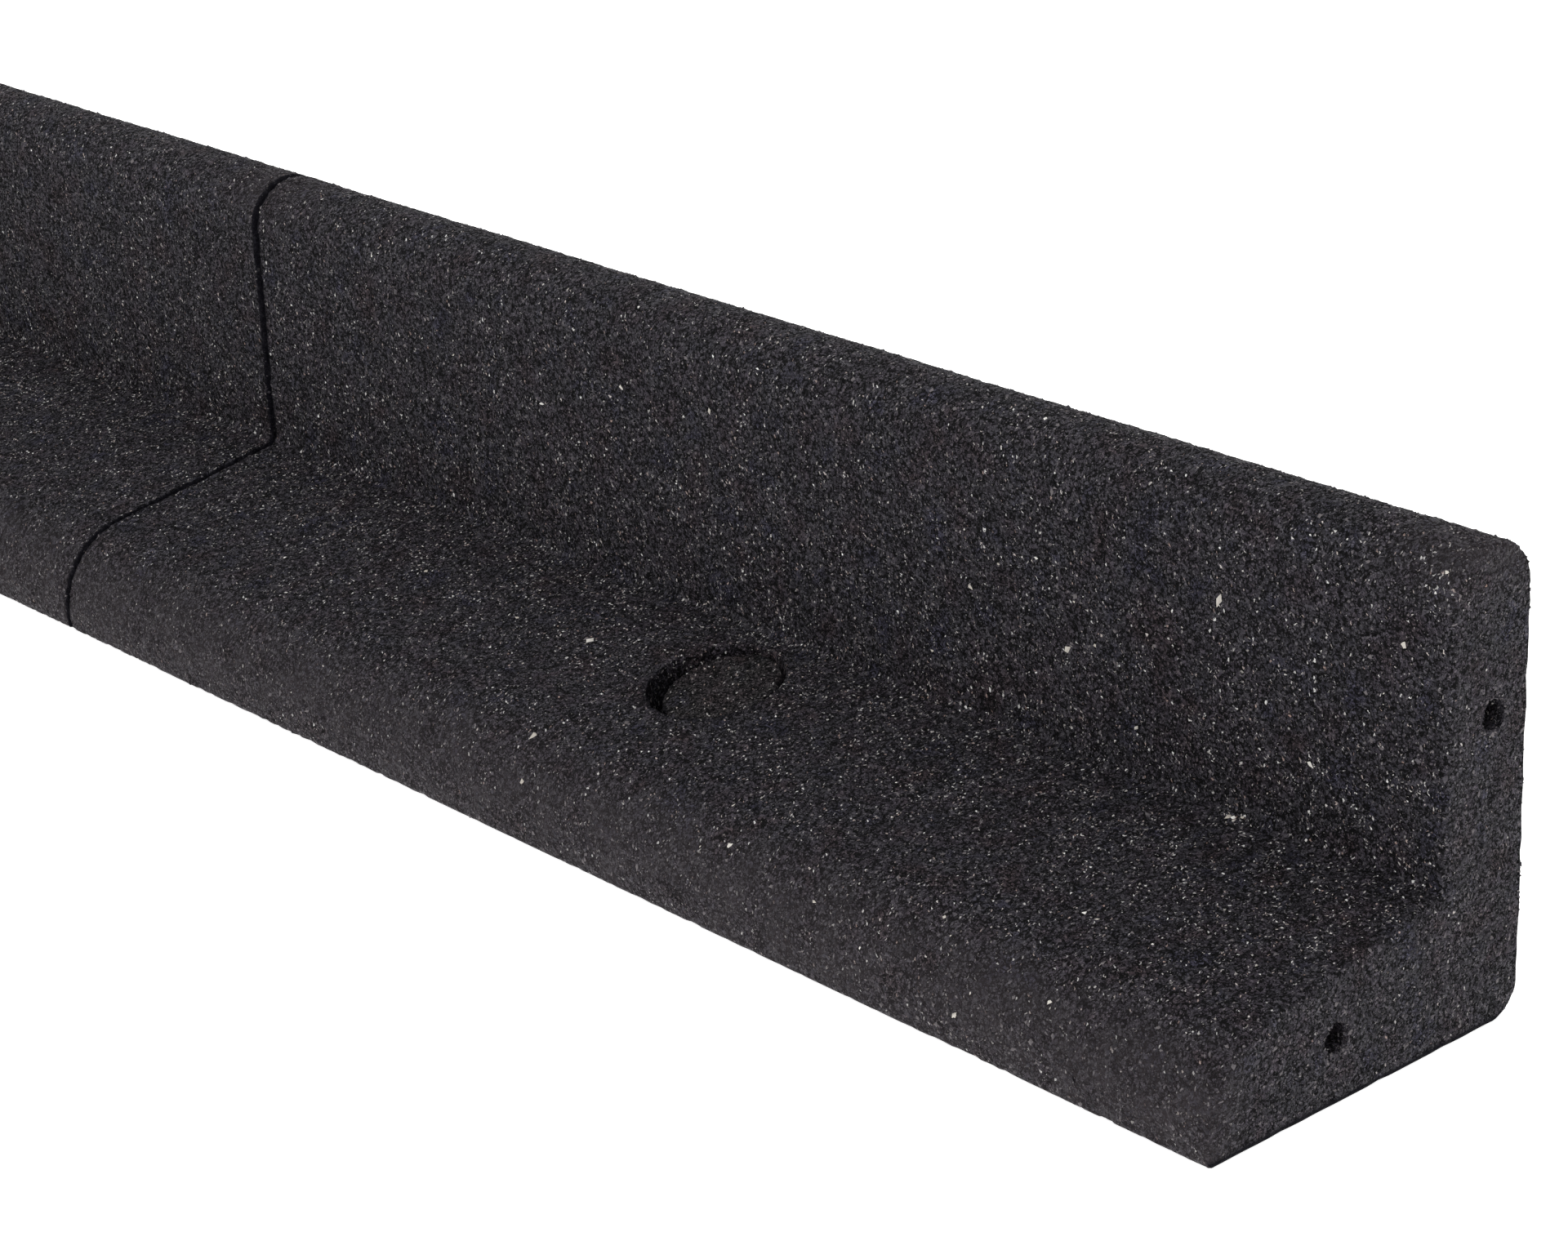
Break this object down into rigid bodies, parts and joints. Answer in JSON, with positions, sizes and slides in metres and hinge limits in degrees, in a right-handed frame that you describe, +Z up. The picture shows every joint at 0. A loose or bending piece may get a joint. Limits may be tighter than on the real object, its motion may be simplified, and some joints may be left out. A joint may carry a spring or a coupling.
{
  "type": "rubber kerb run",
  "caption": "Low L-section kerb of bonded rubber granulate: butt-joined modules on hidden dowels, each with a plugged fixing recess in its foot.",
  "frame": {"origin": "on the ground, halfway along the two-module run and halfway through its depth", "axes": "+X along the kerb towards the open-socket end seen first, +Y from the toe towards the back of the upright, +Z up"},
  "size_m": [2.0004, 0.232, 0.2639],
  "materials": {
    "rubber_granulate": "coarse matt moulded granulate with pale flecks",
    "plug_granulate": "coarse matt granulate, slightly browner",
    "dowel_plastic": "moulded, semi-matt",
    "zinc_plated_steel": "zinc plated, dull"
  },
  "bodies": {
    "near_module": {"near_kerb": "rubber_granulate", "upper_dowel": "dowel_plastic", "lower_dowel": "dowel_plastic", "near_washer": "zinc_plated_steel"},
    "far_module": {"far_kerb": "rubber_granulate", "far_washer": "zinc_plated_steel"},
    "near_plug": {"near_cover_plug": "plug_granulate"},
    "far_plug": {"far_cover_plug": "plug_granulate"}
  },
  "joints": [
    {"name": "far_module_pull_off", "type": "slide", "parent": "near_module", "child": "far_module", "axis": [-1, 0, 0], "range_m": [0, 0.07]},
    {"name": "near_plug_lift", "type": "slide", "parent": "near_module", "child": "near_plug", "axis": [0, 0, 1], "range_m": [0, 0.04]},
    {"name": "far_plug_lift", "type": "slide", "parent": "far_module", "child": "far_plug", "axis": [0, 0, 1], "range_m": [0, 0.04]}
  ]
}
